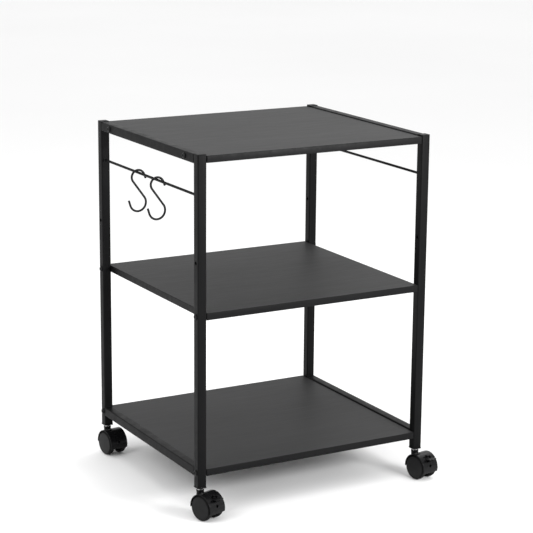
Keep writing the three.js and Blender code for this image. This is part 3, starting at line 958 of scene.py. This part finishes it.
def wire(points, radius, steps=24):
    """A round wire along points in the XZ plane, its cut ends slightly rounded."""
    rings = []
    last = len(points) - 1
    for i, point in enumerate(points):
        way = (points[min(i + 1, last)] - points[max(i - 1, 0)]).normalized()
        side = Vector((-way.y, way.x))

        def ring(shift, size):
            centre = point + way * shift
            loop = []
            for k in range(steps):
                angle = 2 * math.pi * k / steps
                reach = size * math.cos(angle)
                out = centre + side * reach
                loop.append(Vector((out.x, size * math.sin(angle), out.y)))
            return loop

        if i == 0:
            rings += [ring(0, radius - 0.5), ring(0.15, radius - 0.15), ring(0.5, radius)]
        elif i == last:
            rings += [ring(-0.5, radius), ring(-0.15, radius - 0.15), ring(0, radius - 0.5)]
        else:
            rings.append(ring(0, radius))
    return loft(rings)


def make_hooks():
    line = hook_line()
    lengths = [(b - a).length for a, b in zip(line, line[1:])]
    centre = sum(((a + b) / 2 * s for a, b, s in zip(line, line[1:], lengths)), Vector((0, 0))) / sum(lengths)
    swing = math.atan2(centre.x, -centre.y)
    drop = upper_radius - wire_radius - rod_radius - gap
    for body in ("s_hook_front", "s_hook_rear"):
        middle = middle_mm(body)
        pivot = Vector(swivels[body]["pos_m"]) / MM
        hook = work_object(wire(line, wire_radius))
        turn = Matrix.Rotation(swing, 4, "Y")
        where = Matrix.Translation((pivot.x, middle.y, pivot.z - drop)) @ turn
        place(hook, f"{body}_wire", body, [body], BLACK_STEEL, where, sharp=60)


make_hooks()

# ---------------------------------------------------------------- floor, light and camera


def make_floor():
    mesh = bpy.data.meshes.new("floor")
    half = 40.0
    corners = [(-half, -half, 0), (half, -half, 0), (half, half, 0), (-half, half, 0)]
    mesh.from_pydata(corners, [], [(0, 1, 2, 3)])
    floor = bpy.data.objects.new("floor", mesh)
    bpy.context.scene.collection.objects.link(floor)
    m = Material("floor", 0.85)
    tone = m.blend(m.remap(m.noise(0.7, 2.0), 0.3, 0.7, 0, 1), (0.89, 0.89, 0.89), (0.91, 0.91, 0.91))
    mesh.materials.append(m.finish(tone))


def make_world():
    world = bpy.data.worlds.new("studio")
    world.use_nodes = True
    background = world.node_tree.nodes["Background"]
    background.inputs["Color"].default_value = (1, 1, 1, 1)
    background.inputs["Strength"].default_value = 1.05
    bpy.context.scene.world = world


def area_light(name, offset, size, power, height=0.33):
    """A soft light at an offset from a point on the stand's middle axis, in metres, aimed at that point."""
    target = Vector((frame_centre.x * MM, frame_centre.y * MM, height))
    light = bpy.data.lights.new(name, "AREA")
    light.shape = "RECTANGLE"
    light.size, light.size_y = size
    light.energy = power
    obj = bpy.data.objects.new(name, light)
    obj.location = target + Vector(offset)
    obj.rotation_mode = "QUATERNION"
    obj.rotation_quaternion = Vector(offset).to_track_quat("Z", "Y")
    obj.visible_camera = False
    bpy.context.scene.collection.objects.link(obj)


def make_camera():
    """The camera stands in front, to the left of and above the stand, with a long lens."""
    yaw, pitch, roll = math.radians(29.26), math.radians(13.55), math.radians(0.49)
    offset = Vector((-1.5483, -2.7884, 1.1387))
    camera = bpy.data.cameras.new("camera")
    camera.lens = 123.7
    camera.sensor_width = 36
    camera.clip_end = 200
    forward = Vector((math.sin(yaw) * math.cos(pitch), math.cos(yaw) * math.cos(pitch), -math.sin(pitch)))
    level = Vector((math.cos(yaw), -math.sin(yaw), 0))
    upright = level.cross(forward)
    right = math.cos(roll) * level + math.sin(roll) * upright
    up = -math.sin(roll) * level + math.cos(roll) * upright
    obj = bpy.data.objects.new("camera", camera)
    turn = Matrix((right, up, -forward)).transposed().to_4x4()
    foot = Vector((frame_centre.x * MM, frame_centre.y * MM, 0))
    obj.matrix_world = Matrix.Translation(foot + offset) @ turn
    bpy.context.scene.collection.objects.link(obj)
    bpy.context.scene.camera = obj


make_floor()
make_world()
area_light("key_left", (-1.9, -0.5, 1.2), (1.2, 1.2), 18)
area_light("overhead", (0.1, 0.3, 2.0), (2.0, 2.0), 12)
area_light("front_right", (0.5, -1.25, 0.0), (0.5, 0.25), 15, height=0.68)
area_light("fill_right", (1.8, 0.9, 1.3), (1.2, 1.2), 6)
bpy.context.scene.view_settings.view_transform = "Standard"
make_camera()
